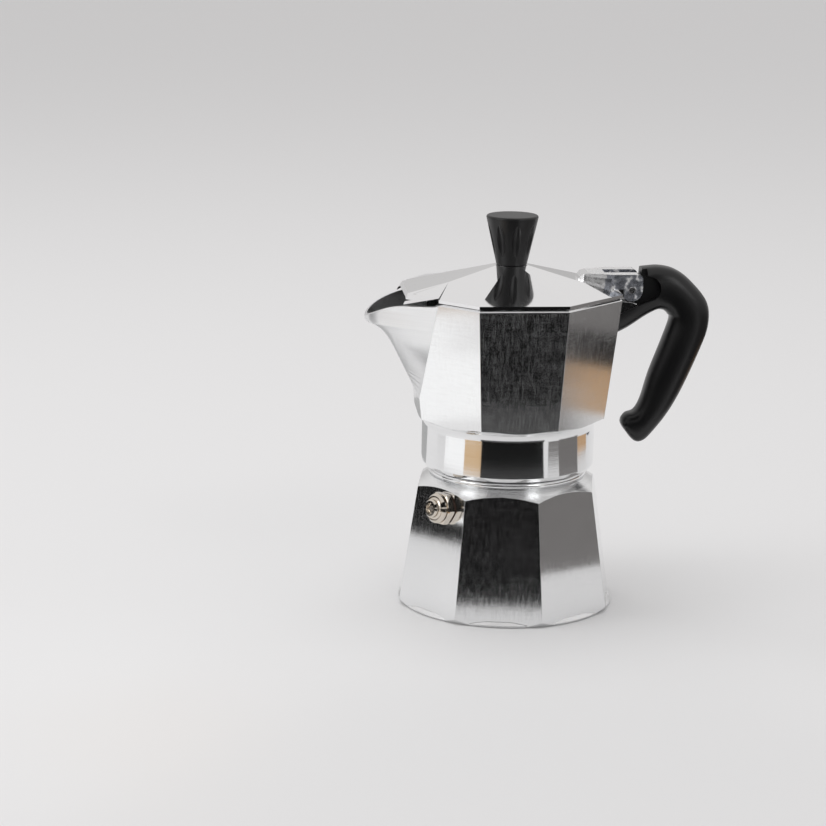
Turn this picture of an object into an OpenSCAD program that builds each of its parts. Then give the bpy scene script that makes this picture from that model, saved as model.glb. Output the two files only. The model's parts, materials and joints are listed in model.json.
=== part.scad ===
// Stovetop moka pot, three-cup size. All sizes in millimetres.
// The frame: Z is the pot's axis, Z = 0 is the surface it stands on, the handle
// points to +X, the spout to -X, and the jug's plain front facet faces -Y.

/* [Boiler] */
// Width across the boiler's flats at the foot
boiler_base_af = 85.1; // [80:0.1:95]
// How far the flats' top stands out beyond the bead
shoulder_out = 2.7; // [1.5:0.1:5]
// Height at which the shoulder cuts the middle of each flat
boiler_flat_h = 51.7; // [44:0.1:64]
// How far the boiler's flats stop short of the jug's when screwed tight, degrees
boiler_turn = -10.3; // [-22:0.1:22]
// Thickness of the boiler's cast walls
boiler_wall = 3.2; // [2.4:0.1:4]
// Thickness of the boiler's floor
boiler_floor = 3.5; // [2.5:0.1:5]
// Radius of the turned foot ring
foot_r = 44; // [42.6:0.1:48]
// Rise of the shoulder between the flats and the bead
shoulder_rise = 2; // [1:0.1:4]
// How far the polished bead stands out beyond the neck
bead_out = 1.6; // [1.4:0.1:2.8]
// Height of the bead
bead_h = 3; // [2:0.1:4]
// Height of the threaded neck above the bead
neck_h = 11.3; // [9:0.1:14]
// Radius of the neck below its thread
neck_r = 30.8; // [28:0.1:37]
// Wall of the neck round the boiler's mouth
neck_wall = 2.8; // [2.2:0.1:3.4]

/* [Safety valve] */
// Height of the valve's axis on its flat
valve_z = 44.5; // [24:0.1:46]
// Sideways shift of the valve from the middle of its flat
valve_shift = 3.4; // [-4:0.1:4]
// Width of the valve's hexagon across its flats
valve_hex_af = 12; // [10:0.1:13]
// Height of the hexagon
valve_hex_h = 3; // [2:0.1:4.5]
// Radius of the threaded shank
valve_shank_r = 4; // [3.8:0.1:4.6]
// Radius of the nose
valve_nose_r = 3.7; // [3:0.1:4]

/* [Funnel] */
// Depth of the coffee basket below its flange
basket_h = 20; // [12:0.1:24]
// Thickness of the funnel's sheet
funnel_wall = 0.9; // [0.6:0.1:1.2]
// Outer radius of the down-tube
tube_r = 5.2; // [4:0.1:8]
// Gap between the tube's end and the boiler's floor
tube_gap = 4.5; // [3:0.1:10]

/* [Seal] */
// How far the sealing ring reaches beyond the collar's bore
gasket_grip = 0.6; // [0.4:0.1:0.9]
// Width of the sealing ring from its hole to its edge
gasket_w = 6.2; // [5:0.1:7.5]
// Thickness of the sealing ring
gasket_t = 4.4; // [3:0.1:5]
// How far the filter plate laps over the sealing ring
filter_lap = 1.7; // [1:0.1:2.6]
// Thickness of the filter plate
filter_t = 0.8; // [0.5:0.1:1]

/* [Collector] */
// Wall of the turned collar round its threaded bore
collar_wall = 3.3; // [2.9:0.1:4.6]
// Radial height of the thread
thread_height = 0.8; // [0.6:0.1:1]
// Height of the jug's flats from the collar's fillet to the rim
jug_h = 49.6; // [44:0.1:60]
// Width across the jug's flats at the rim
jug_top_af = 85.4; // [84:0.1:96]
// How far the flats' foot stands out beyond the collar
flats_out = 1.87; // [1.6:0.01:3.6]
// Thickness of the jug's cast walls
jug_wall = 2.4; // [1.8:0.1:3]
// Radius of the fillet between the collar and the flats
jug_fillet = 5; // [3.5:0.1:5.5]
// Outer radius of the column at its foot
column_foot_r = 8.5; // [7.5:0.1:11]
// Outer radius of the column at its top
column_top_r = 6; // [5.6:0.1:7]
// Radius of the column's bore
column_bore_r = 3.4; // [2.5:0.1:4]
// Height of the column above the jug's floor
column_h = 37.4; // [20:0.1:40]

/* [Spout] */
// Reach of the spout's tip from the pot's axis
spout_reach = 59.2; // [52:0.1:64]
// Height of the tip's underside below the rim
spout_tip_drop = 11.4; // [8:0.1:15]
// Slope of the spout's keel, run over rise
keel_slope = 0.5; // [0.35:0.01:0.6]
// Thickness of the spout's wall
spout_wall = 1.9; // [1.2:0.1:2.2]
// Radius of the keel
keel_r = 2.4; // [1.6:0.1:4]
// Radius of the spout's blunt nose at its lip
nose_r = 13; // [6:0.1:14]

/* [Lid] */
// Gap between the rim and the lid
lid_gap = 0.4; // [0.2:0.1:0.6]
// Thickness of the lid's sheet
lid_t = 1.6; // [1.2:0.1:2.2]
// Height of the lid's edge
lid_edge_h = 1.2; // [0.6:0.1:2]
// Height of the knob's seat above the lid's edge
lid_rise = 9.5; // [6:0.1:12]
// Width of the hinge lug
lug_w = 19.5; // [17:0.1:22]
// Height of the hinge lug's top above the pin
lug_top = 6.4; // [6:0.1:8]

/* [Hinge and handle] */
// Distance of the hinge pin from the pot's axis
pin_x = 47.8; // [47.6:0.1:52]
// Height of the hinge pin above the rim
pin_rise = 1.9; // [1.4:0.1:2.3]
// Radius of the hinge pin
pin_r = 1.5; // [1.2:0.1:1.8]
// Radius of the round end of the lid's ears
ear_r = 4.4; // [4.2:0.1:5.6]
// Thickness of the tang on the collector
tang_t = 3; // [2:0.1:4]
// Width of the handle's head between the lid's ears
web_w = 6.9; // [5.5:0.1:8]
// Width of the handle
handle_w = 14.6; // [12:0.1:18]

/* [Knob] */
// Height of the knob
knob_h = 20.3; // [16:0.1:28]
// Radius of the knob's top
knob_top_r = 10.5; // [8:0.1:14]
// Radius of the knob's foot
knob_foot_r = 6.2; // [5:0.1:6.6]
// Number of flutes round the knob
flute_count = 8; // [5:1:10]
// Depth of the flutes
flute_depth = 0.9; // [0.5:0.1:1.2]

/* [Fits] */
// Gap between the collar and the bead when screwed tight
collar_gap = 0.8; // [0.4:0.1:2]
// Radial clearance of parts that are fitted into another by hand
hand_fit = 0.3; // [0.15:0.05:0.4]
// Radial clearance of pins and stems that turn or slide
running_fit = 0.06; // [0.02:0.01:0.1]
// Radial clearance of pressed parts
press_gap = 0.02; // [0:0.01:0.04]
// Side gap between the lid's ears and the handle's web
ear_gap = 0.25; // [0.15:0.05:0.4]
// Gap left at the seats of parts that come apart
seat_gap = 0.15; // [0.05:0.05:0.25]

/* [Hidden] */

aluminium = [0.80, 0.80, 0.82];
nickel = [0.74, 0.68, 0.60];
black = [0.05, 0.05, 0.055];
flats = 8;
half_step = 180 / flats;
far = 200;

// ---- radii that follow the neck ----
mouth_r = neck_r - neck_wall;
bead_r = neck_r + bead_out;
boiler_shoulder_af = 2 * (bead_r + shoulder_out);
collar_bore_r = neck_r + thread_height + hand_fit;
collar_r = collar_bore_r + collar_wall;
gasket_r = collar_bore_r + gasket_grip;
gasket_hole_r = gasket_r - gasket_w;
filter_r = gasket_hole_r + filter_lap;
jug_lean = atan((jug_top_af / 2 - collar_r - flats_out) / jug_h);

// ---- heights, from the foot up ----
boiler_lean = atan((boiler_base_af - boiler_shoulder_af) / 2 / boiler_flat_h);
shoulder_slope = 0.62;
shoulder_start_r = boiler_shoulder_af / 2;
bead_z = boiler_flat_h + shoulder_rise;
bead_top = bead_z + bead_h;
neck_top = bead_top + neck_h;
funnel_rim_t = 1;
flange_z = neck_top + seat_gap;
flange_top = flange_z + funnel_rim_t;
gasket_z = flange_top + seat_gap;
seal_z = gasket_z + gasket_t;
collar_z = bead_top + collar_gap;
filter_top = seal_z + filter_t;
flat_low_z = seal_z + 5.3;
rim_z = flat_low_z + jug_h;
jug_floor_t = 2.4;
jug_floor_z = filter_top + 4 + jug_floor_t;
lid_z = rim_z + lid_gap;
lid_edge_z = lid_z + lid_edge_h;
seat_z = lid_edge_z + lid_rise;
pin_z = rim_z + pin_rise;

// ---- the jug's flats ----
function jug_apothem(z) = jug_top_af / 2 - (rim_z - z) * tan(jug_lean);
function boiler_apothem(z) = boiler_base_af / 2 - z * tan(boiler_lean);
rim_bevel = 0.9;

// Eight flats that lean in by lean degrees, af across them at the bottom.
module octagon_taper(af, lean, h) {
  intersection_for (k = [0 : flats - 1])
    rotate([0, 0, k * 2 * half_step])
      intersection() {
        translate([af / 2, 0, 0]) rotate([0, -lean, 0])
          translate([-far, -far, -far]) cube([far, 2 * far, 2 * far]);
        translate([-far, -far, 0]) cube([2 * far, 2 * far, h]);
      }
}

// A solid with flat faces round a list of corner points.
module corners(points) hull() polyhedron(points, [[for (i = [0 : len(points) - 1]) i]]);

// ---- boiler ----
foot_bevel = 1.4;
foot_edge = 0.6;

module boiler_outside() {
  rotate([0, 0, boiler_turn]) intersection() {
    octagon_taper(boiler_base_af, boiler_lean, bead_z);
    rotate_extrude($fn = 128)
      polygon([[0, 0], [foot_r - foot_edge, 0], [foot_r, foot_edge], [foot_r + 3, foot_edge + 3.4],
               [foot_r + 4, boiler_flat_h - 8], [shoulder_start_r + 6, boiler_flat_h - 6 * shoulder_slope],
               [shoulder_start_r, boiler_flat_h], [bead_r, bead_z], [0, bead_z]]);
  }
  // the turned foot ring that the flats stand on
  rotate_extrude($fn = 128)
    polygon([[0, 0], [foot_r - foot_edge, 0], [foot_r, foot_edge], [foot_r, foot_edge + 0.3],
             [foot_r - foot_bevel, foot_edge + foot_bevel], [0, foot_edge + foot_bevel]]);
  // bead and neck
  rotate_extrude($fn = 128) {
    square([neck_r, neck_top - 0.6]);
    square([neck_r - 0.6, neck_top]);
    translate([0, bead_z]) square([bead_r - bead_h / 2, bead_h]);
    translate([bead_r - bead_h / 2, bead_z + bead_h / 2]) circle(d = bead_h);
  }
}

module boiler_inside() {
  inner_top = bead_z - 4;
  rotate([0, 0, boiler_turn]) intersection() {
    translate([0, 0, boiler_floor])
      octagon_taper(2 * (boiler_apothem(boiler_floor) - boiler_wall), boiler_lean,
        inner_top + 3.6 - boiler_floor);
    rotate_extrude($fn = 128) {
      floor_fillet = 5;
      inner_r = foot_r - boiler_wall - 0.4;
      polygon([[0, boiler_floor], [inner_r - floor_fillet, boiler_floor],
           [inner_r - 1.4, boiler_floor + 1.4],
               [inner_r, boiler_floor + floor_fillet], [shoulder_start_r, inner_top - 6],
               [mouth_r, inner_top + 3.6], [0, inner_top + 3.6]]);
    }
  }
  translate([0, 0, inner_top]) cylinder(r = mouth_r, h = far, $fn = 128);
}

module boiler() color(aluminium) difference() {
  boiler_outside();
  boiler_inside();
  at_valve() translate([0, 0, -2 * boiler_wall])
    cylinder(r = valve_shank_r + press_gap, h = 4 * boiler_wall, $fn = 48);
  // turning grooves in the base
  for (r = [12 : 6 : 36]) rotate_extrude($fn = 96) translate([r, 0]) circle(d = 0.6, $fn = 16);
}

// ---- safety valve, drawn along its own axis with Z pointing out of the flat ----
washer_t = 0.5;
hex_top = washer_t + valve_hex_h;
valve_rim_h = 2.5;
valve_rim_top = hex_top + valve_rim_h;
valve_rim_r = valve_hex_af / 2 - 0.1;
valve_bore_r = valve_shank_r - 0.9;
shank_in = 7;
seat_t = 1.4;
cap_r = valve_rim_r - 1.3;
cap_z = hex_top + 0.9;
nose_top = valve_rim_top + 2.1;
stem_r = 1.25;
stem_hole_r = stem_r + running_fit;
plunger_head_t = 1.3;
plunger_z = seat_t - shank_in + 0.1;
spring_wire_r = 0.3;
spring_r = (valve_bore_r + stem_r) / 2;
spring_turns = 7;

module at_valve() rotate([0, 0, boiler_turn - 135])
  translate([boiler_apothem(valve_z), valve_shift, valve_z])
  rotate([0, 90 - boiler_lean, 0]) children();

module valve_washer() color([0.45, 0.22, 0.16]) at_valve() difference() {
  cylinder(r = valve_hex_af / 2 - 0.4, h = washer_t, $fn = 64);
  translate([0, 0, -1]) cylinder(r = valve_shank_r + hand_fit / 2, h = 3, $fn = 48);
}

module valve_body() color(nickel) at_valve() difference() {
  union() {
    translate([0, 0, -shank_in]) cylinder(r = valve_shank_r, h = shank_in + washer_t + 0.1, $fn = 48);
    intersection() {
      translate([0, 0, washer_t]) rotate([0, 0, 30])
        cylinder(d = valve_hex_af / cos(30), h = valve_hex_h, $fn = 6);
      // chamfers on the hexagon's corners
      rotate_extrude($fn = 64)
        polygon([[0, 0], [valve_hex_af / 2 + 0.3, washer_t], [valve_hex_af / 2 + 1.2, washer_t + 0.5],
                 [valve_hex_af / 2 + 1.2, hex_top - 0.7], [valve_hex_af / 2 - 0.1, hex_top], [0, hex_top]]);
    }
    // groove, then the round rim that is rolled over the cap
    rotate_extrude($fn = 64)
      polygon([[0, hex_top - 0.1], [valve_rim_r - 0.8, hex_top - 0.1], [valve_rim_r - 0.8, hex_top + 0.4],
               [valve_rim_r, hex_top + 0.7], [valve_rim_r, valve_rim_top - 1],
                [valve_rim_r - 0.9, valve_rim_top],
               [0, valve_rim_top]]);
  }
  translate([0, 0, -shank_in - 1]) cylinder(r = 1.4, h = far, $fn = 32);
  translate([0, 0, seat_t - shank_in]) cylinder(r = valve_bore_r, h = far, $fn = 48);
  translate([0, 0, cap_z]) cylinder(r = cap_r + press_gap, h = far, $fn = 48);
}

module valve_cap() color(nickel) at_valve() rotate_extrude($fn = 64)
  polygon([[stem_hole_r, cap_z], [cap_r, cap_z], [cap_r, valve_rim_top - 0.2],
           [cap_r - 0.3, valve_rim_top + 0.1],
           [valve_nose_r, valve_rim_top + 0.4], [valve_nose_r, nose_top - 0.6],
           [valve_nose_r - 0.6, nose_top],
           [2.2, nose_top], [1.9, nose_top - 0.8], [stem_hole_r, nose_top - 0.8]]);

module valve_plunger() color([0.80, 0.66, 0.38]) at_valve() rotate_extrude($fn = 48)
  polygon([[0, plunger_z], [valve_bore_r - 0.9, plunger_z], [valve_bore_r - 0.25, plunger_z + 0.6],
           [valve_bore_r - 0.25, plunger_z + plunger_head_t], [stem_r, plunger_z + plunger_head_t + 0.3],
           [stem_r, nose_top - 0.9], [stem_r - 0.4, nose_top - 0.5], [0, nose_top - 0.5]]);

// A round wire wound as a helix, as one closed skin.
module coil(r, wire_r, height, turns) {
  sides = 8;
  steps = 16 * turns;
  pitch_angle = atan(height / turns / (2 * PI * r));
  points = [for (i = [0 : steps]) let (a = 360 * turns * i / steps) for (k = [0 : sides - 1])
    let (b = 360 * k / sides, out = wire_r * cos(b), up = wire_r * sin(b))
    [(r + out) * cos(a) + up * sin(pitch_angle) * sin(a),
     (r + out) * sin(a) - up * sin(pitch_angle) * cos(a),
     height * i / steps + up * cos(pitch_angle)]];
  skin = [for (i = [0 : steps - 1]) for (k = [0 : sides - 1])
    let (a = i * sides, b = a + sides, n = (k + 1) % sides) [a + k, b + k, b + n, a + n]];
  polyhedron(points, concat(skin, [[for (k = [0 : sides - 1]) k]],
    [[for (k = [sides - 1 : -1 : 0]) steps * sides + k]]), convexity = 8);
}

module valve_spring() color([0.7, 0.7, 0.72]) {
  low = plunger_z + plunger_head_t + 0.35 + spring_wire_r;
  high = cap_z - 0.05 - spring_wire_r;
  at_valve() translate([0, 0, low]) coil(spring_r, spring_wire_r, high - low, spring_turns);
}

// ---- funnel ----
basket_r = mouth_r - 0.5;
basket_z = neck_top - basket_h;
screen_t = 0.6;
screen_r = basket_r - funnel_wall - 0.1;
cone_h = 11;
tube_top = basket_z - cone_h;
tube_low = boiler_floor + tube_gap;
rim_out_r = neck_r - 0.3;

module funnel() color(aluminium) rotate_extrude($fn = 96) {
  inner = basket_r - funnel_wall;
  ledge = 1.6;
  polygon([
    // outside, from the flange down to the tube's end
    [rim_out_r, flange_top], [rim_out_r, flange_z], [basket_r, flange_z], [basket_r, basket_z],
    [basket_r - 1.5, basket_z - 1.5], [tube_r, tube_top], [tube_r, tube_low],
    // inside, from the tube's end up to the mouth
    [tube_r - funnel_wall, tube_low], [tube_r - funnel_wall, tube_top + 0.4],
    [inner - ledge, basket_z - 1.5 + funnel_wall], [inner - ledge, basket_z + funnel_wall],
    [inner, basket_z + funnel_wall], [inner, flange_top - 0.6], [inner + 0.6, flange_top]]);
}

// Rings of round holes, hole_r in radius, gap apart.
module hole_rings(rings, gap, hole_r, depth) {
  cylinder(r = hole_r, h = depth, $fn = 16);
  for (ring = [1 : rings]) for (k = [0 : 6 * ring - 1])
    rotate([0, 0, 60 * k / ring]) translate([gap * ring, 0, 0]) cylinder(r = hole_r, h = depth, $fn = 16);
}

module funnel_screen() color([0.72, 0.72, 0.74]) translate([0, 0, basket_z + funnel_wall]) difference() {
  cylinder(r = screen_r, h = screen_t, $fn = 96);
  translate([0, 0, -1]) hole_rings(5, 4.3, 0.8, 3);
}

// ---- seal ----
module gasket() color([0.85, 0.82, 0.74]) rotate_extrude($fn = 96) {
  chamfer = 0.4;
  polygon([[gasket_hole_r, gasket_z], [gasket_r - chamfer, gasket_z], [gasket_r, gasket_z + chamfer],
           [gasket_r, seal_z - chamfer], [gasket_r - chamfer, seal_z], [gasket_hole_r, seal_z]]);
}

module filter_plate() color([0.72, 0.72, 0.74]) translate([0, 0, seal_z]) difference() {
  cylinder(r = filter_r, h = filter_t, $fn = 96);
  translate([0, 0, -1]) hole_rings(5, 4.4, 0.7, 3);
}

// ---- spout: the two flats beside it run on and meet in a keel ----
// The flank starts on the neighbouring flat, nearer its middle the higher it is.
spout_low_z = rim_z - 40.6;
flank_run = 14.8;
keel_foot = jug_apothem(spout_low_z) + 0.1;
spout_tip_z = rim_z - spout_tip_drop;
keel_line = (spout_tip_z - spout_low_z) * keel_slope;
keel_flare = spout_reach - keel_foot - keel_line;
flare_len = 2.6;
nose_rise = 20;
nose_steps = 9;
foot_width = 0.5;
lip_start = flank_run * cos(45) - jug_apothem(rim_z);
lip_step = 0.7;

function flank_shift(z) = flank_run * max(0, min(1.02, (z - spout_low_z) / (rim_z - spout_low_z)));
function keel_x(z) = z > spout_tip_z ? spout_reach
  : keel_foot + (z - spout_low_z) * keel_slope + keel_flare * exp((z - spout_tip_z) / flare_len);
// The keel widens into the nose over the last stretch below the tip.
function nose_at(z) = let (t = max(0, min(1, (z - spout_tip_z + nose_rise) / nose_rise)))
  keel_r + (nose_r - keel_r) * t * t * (3 - 2 * t);
function flank_point(z, sink) = let (a = jug_apothem(z), s = flank_shift(z) * cos(45), i = sink * cos(45))
  [-a + s + i, -a * tan(half_step) - s + i];

// Half of a level section, from the flat to the keel's rounded nose. sink moves it inward.
// At the foot the flanks lie almost level and the nose is a narrow flat, then a wide round.
function half_section(z, reach, least_r, sink) =
  let (b = flank_point(z, sink), bend = atan2(reach + b.x, -b.y), n = nose_steps)
  bend < 2 ? concat([b], [for (i = [0 : n]) [-reach, foot_width * (i / n - 1)]])
  : let (r = max(least_r, foot_width / tan(bend / 2)), c = [-(reach - r), 0], v = b - c,
         start = atan2(v.y, v.x) - acos(min(1, r / norm(v))))
    concat([b], [for (i = [0 : n]) let (t = start + (-180 - start) * i / n) c + r * [cos(t), sin(t)]]);

// The level line where the flanks spring from the flats, a plane square to the keel's.
function crease_x(z) = jug_apothem(z) - flank_run * cos(45) * (z - spout_low_z) / (rim_z - spout_low_z);

function whole_section(half) = concat(half, [for (i = [len(half) - 2 : -1 : 0]) [half[i].x, -half[i].y]]);

// Stacks level sections into one skin. Each has the same number of points.
module stack(sections, heights) {
  n = len(sections[0]);
  m = len(sections);
  points = [for (i = [0 : m - 1]) for (p = sections[i]) [p.x, p.y, heights[i]]];
  skin = [for (i = [0 : m - 2]) for (k = [0 : n - 1])
    let (a = i * n, b = a + n, j = (k + 1) % n) each [[a + k, a + j, b + j], [a + k, b + j, b + k]]];
  polyhedron(points, concat(skin, [[for (k = [n - 1 : -1 : 0]) k]],
             [[for (k = [0 : n - 1]) (m - 1) * n + k]]),
             convexity = 6);
}

spout_heights = concat([for (z = [spout_low_z - 3 : 2.2 : spout_tip_z - nose_rise - 0.5]) z],
                       [for (z = [spout_tip_z - nose_rise : 0.6 : spout_tip_z]) z],
                       [for (z = [spout_tip_z + 1 : 2 : rim_z - 1]) z], [rim_z]);

module spout_outside() {
  root = 3;
  stack([for (z = spout_heights) concat(whole_section(half_section(z, keel_x(z), nose_at(z), 0.04)),
           [[flank_point(z, root).x, -flank_point(z, root).y], flank_point(z, root)])],
        spout_heights);
}

spout_floor = 1.7;
hollow_heights = concat([for (z = [spout_low_z + 1 : 2.2 : spout_tip_z - nose_rise]) z],
                        [for (z = [spout_tip_z - nose_rise : 0.9 : spout_tip_z]) z + spout_floor],
                        [spout_tip_z + spout_floor + 1, rim_z + 6]);

module spout_inside() {
  reach_at = function (z) keel_x(z - spout_floor) - 1;
  stack([for (z = hollow_heights) concat(
           whole_section(half_section(z, reach_at(z), nose_at(z - spout_floor) - 0.9, spout_wall)),
           [[-20, flank_point(z, spout_wall).y * -0.9], [-20, flank_point(z, spout_wall).y * 0.9]])],
        hollow_heights);
}

// Everything above the pouring lip, which dips towards the tip.
module above_lip() {
  span = spout_reach + lip_start;
  lip = function (t) rim_z - lip_step - 2.5 * pow(t, 0.4) - 6.1 * pow(t, 3.8);
  rotate([90, 0, 0]) translate([0, 0, -far / 2]) linear_extrude(far)
    polygon(concat([[lip_start + 2, rim_z + 20], [lip_start + 2, rim_z]],
                   [for (i = [0 : 24]) [lip_start - span * i / 24, lip(i / 24)]],
                   [[-spout_reach - 5, lip(1)], [-spout_reach - 5, rim_z + 20]]));
}

// ---- collector ----
column_top = jug_floor_z + column_h;
spigot_r = column_top_r - 0.9;
spigot_h = 5;
tang_root_w = 13;
tang_root_x = pin_x - 1.4;
tang_low = rim_z - 15;
tang_end_r = ear_r - 0.55;

module jug_outside() {
  low = flat_low_z - jug_fillet;
  intersection() {
    translate([0, 0, low])
      octagon_taper(2 * jug_apothem(low), -jug_lean, rim_z - low);
    union() {
      // the turned fillet that the flats grow out of
      rotate_extrude($fn = 128) difference() {
        translate([0, low]) square([collar_r + jug_fillet, jug_fillet]);
        translate([collar_r + jug_fillet, low]) circle(r = jug_fillet, $fn = 64);
      }
      translate([0, 0, flat_low_z - 0.02]) cylinder(r = far, h = far);
    }
    // bevel round the rim
    translate([0, 0, low])
      octagon_taper(2 * (jug_apothem(rim_z) + rim_z - low - rim_bevel), 45, rim_z - low);
    // the spout's side, cut back to the line its flanks spring from
    rotate([90, 0, 0]) translate([0, 0, -far / 2]) linear_extrude(far)
      polygon([[-crease_x(spout_low_z - 1), 0], [-crease_x(spout_low_z - 1), spout_low_z - 1],
               [-crease_x(rim_z + 1), rim_z + 1], [far, rim_z + 1], [far, 0]]);
  }
  // the collar with its chamfered edge
  chamfer = 1;
  rotate_extrude($fn = 128)
    polygon([[0, collar_z], [collar_r - chamfer, collar_z], [collar_r, collar_z + 1.6 * chamfer],
             [collar_r, low + 0.5], [0, low + 0.5]]);
}

module jug_inside() {
  floor_fillet = 4;
  wall_r = jug_apothem(jug_floor_z) - jug_wall;
  intersection() {
    translate([0, 0, jug_floor_z])
      octagon_taper(2 * wall_r, -jug_lean, far);
    rotate_extrude($fn = 128) {
      translate([0, jug_floor_z]) square([wall_r - floor_fillet, floor_fillet + 1]);
      translate([wall_r - floor_fillet, jug_floor_z + floor_fillet]) circle(r = floor_fillet, $fn = 64);
      translate([0, jug_floor_z + floor_fillet]) polygon([[0, 0], [wall_r, 0], [wall_r + 9, 16], [far, 16],
                                                          [far, far], [0, far]]);
    }
  }
}

module column() {
  cylinder_h = column_h - spigot_h;
  translate([0, 0, jug_floor_z - 0.5])
    cylinder(r1 = column_foot_r, r2 = column_top_r, h = cylinder_h + 0.5, $fn = 64);
  translate([0, 0, column_top - spigot_h - 0.1]) cylinder(r = spigot_r, h = spigot_h + 0.1, $fn = 64);
  // fillet at the column's foot
  rotate_extrude($fn = 64) difference() {
    translate([0, jug_floor_z - 0.5]) square([column_foot_r + 3, 3.5]);
    translate([column_foot_r + 3, jug_floor_z + 3]) circle(r = 3, $fn = 48);
  }
}

// Thread bore, gasket seat, filter seat and the vault that leads up into the column.
module seal_seat() {
  seat_r = gasket_r + hand_fit / 2;
  plate_r = filter_r + hand_fit / 2;
  plate_top = filter_top + seat_gap;
  rotate_extrude($fn = 128)
    polygon([[0, collar_z - 1], [collar_bore_r, collar_z - 1], [collar_bore_r, gasket_z - 1],
             [seat_r, gasket_z - 0.2], [seat_r, seal_z + seat_gap], [plate_r, seal_z + seat_gap],
             [plate_r, plate_top], [filter_r - 2, plate_top], [filter_r - 6, plate_top + 2.2],
             [column_foot_r, plate_top + 3.8], [column_bore_r + 1.2, plate_top + 6.3],
             [column_bore_r, column_top - 8], [column_bore_r, column_top + 1], [0, column_top + 1]]);
}

// The tang on the jug's back, drawn in the XZ plane: a thick root for the handle to
// butt against and a thin blade with a round end for the pin.
tang_back = jug_apothem(rim_z) - 2;

module across(width) rotate([90, 0, 0]) translate([0, 0, -width / 2]) linear_extrude(width) children();

module blade_profile(grow) {
  r = tang_end_r + grow;
  translate([pin_x, pin_z]) circle(r = r, $fn = 48);
  polygon([[tang_back - 3 * grow, tang_low + 1 - grow], [pin_x + 3.6 + grow, rim_z - 11 - grow],
           [pin_x + r * cos(12), pin_z - r * sin(12)], [pin_x - r * cos(12), pin_z - r * sin(12)],
           [pin_x - tang_end_r, rim_z - 1.4], [tang_back - 3 * grow, rim_z - 1.4]]);
}

// The shoulder under the lid's ears, which the handle's front end lies against.
module shoulder_profile()
  polygon([[tang_back, tang_low], [tang_root_x - 2.6, pin_z - 10.2], [pin_x + 3.2, pin_z - 6.6],
           [pin_x + 2.6, pin_z - 6], [pin_x, pin_z - 5.3], [pin_x - 4.2, pin_z - 4.9],
           [tang_back + 1.6, rim_z - 2], [tang_back, rim_z - 2]]);

module tang() {
  across(tang_root_w) shoulder_profile();
  across(tang_t) blade_profile(0);
}

module collector() color(aluminium) difference() {
  union() {
    jug_outside();
    spout_outside();
    tang();
  }
  difference() {
    jug_inside();
    column();
  }
  spout_inside();
  above_lip();
  seal_seat();
  translate([pin_x, 0, pin_z]) rotate([90, 0, 0])
    cylinder(r = pin_r + press_gap, h = 2 * web_w, center = true, $fn = 48);
}

module column_cap() color(aluminium) {
  low = column_top - spigot_h + 0.2;
  cap_top = column_top + 5.5;
  difference() {
    rotate_extrude($fn = 64) difference() {
      union() {
        translate([0, low]) square([column_top_r, cap_top - low - 2]);
        translate([0, cap_top - 2]) square([column_top_r - 2, 2]);
        translate([column_top_r - 2, cap_top - 2]) circle(r = 2, $fn = 32);
      }
      translate([0, low - 1]) square([spigot_r + press_gap, column_top - low + 1.1]);
      translate([0, column_top]) square([spigot_r - 0.7, cap_top - column_top - 1]);
    }
    // the two slots that the coffee leaves by
    translate([-column_top_r - 1, -2.6, column_top + 0.6]) cube([2 * column_top_r + 2, 5.2, 2.4]);
  }
}

// ---- lid ----
lid_af = jug_top_af;
lid_slope = atan(lid_rise / (lid_af / 2 - knob_foot_r - 0.4));
lug_front = pin_x - 20;
lug_nose_w = 11;
ear_front = pin_x - 7.4;
slot_front = pin_x - 10.3;
slot_w = web_w + 2 * ear_gap;
hood_reach = lid_af / 2 + 0.3;
hood_lift = 0.7;
hood_start = -lip_start - 0.1;
hood_ridge = hood_start * 0.825;
ear_fillet = 2;
function lid_top(d) = lid_edge_z + (lid_af / 2 - d) * tan(lid_slope);
// Corners of a cheek: on the ridge, front top, front bottom, and on the lid's edge.
hood_corners = [
  [-hood_ridge, -hood_ridge * tan(half_step), lid_top(hood_ridge)],
  [-hood_reach, -13.8, lid_edge_z + 0.3],
  [-hood_reach - 2, -17, rim_z - 2.1],
  [-hood_start, hood_start - lid_af / 2 * sqrt(2), lid_edge_z + hood_lift]];
cheek_slope = (hood_corners[3].z - hood_corners[2].z) / (hood_corners[3].x - hood_corners[2].x);

module lid_skin(down) translate([0, 0, -down]) {
  translate([0, 0, lid_z]) octagon_taper(lid_af - 2 * down, 0, lid_edge_h + 0.01);
  translate([0, 0, lid_edge_z]) octagon_taper(lid_af - 2 * down, 90 - lid_slope, lid_rise);
}

// The raised hood over the spout: a narrow top and two sloping cheeks, each given by
// four corners. inset moves the corners in, for the hollow under it.
module hood(inset) {
  c = hood_corners;
  past = inset > 0 ? 0.25 : 0;
  open_corners = [c[0], c[1] + past * (c[1] - c[0]), c[2] + past * (c[2] - c[3]), c[3]];
  side = [for (p = open_corners) p + inset * [0, 0.65, -0.95]];
  low = inset > 0 ? [for (p = [side[2], side[3]]) [p.x, p.y, p.z - 6]] : [];
  half = concat(side, low);
  corners(concat(half, [for (p = half) [p.x, -p.y, p.z]]));
}

// What the lid's own edge loses outside the hood's cheeks.
module beyond_cheeks() {
  b = hood_corners[1];
  c = hood_corners[2];
  d = hood_corners[3];
  out = cross(b - d, c - d);
  push = out * (far / 20 / norm(out));
  base = [d, d + 2 * (c - d), d + 2 * (b - d)];
  for (s = [-1, 1]) corners([for (p = concat(base, [for (q = base) q + push])) [p.x, s * p.y, p.z]]);
}

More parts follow.
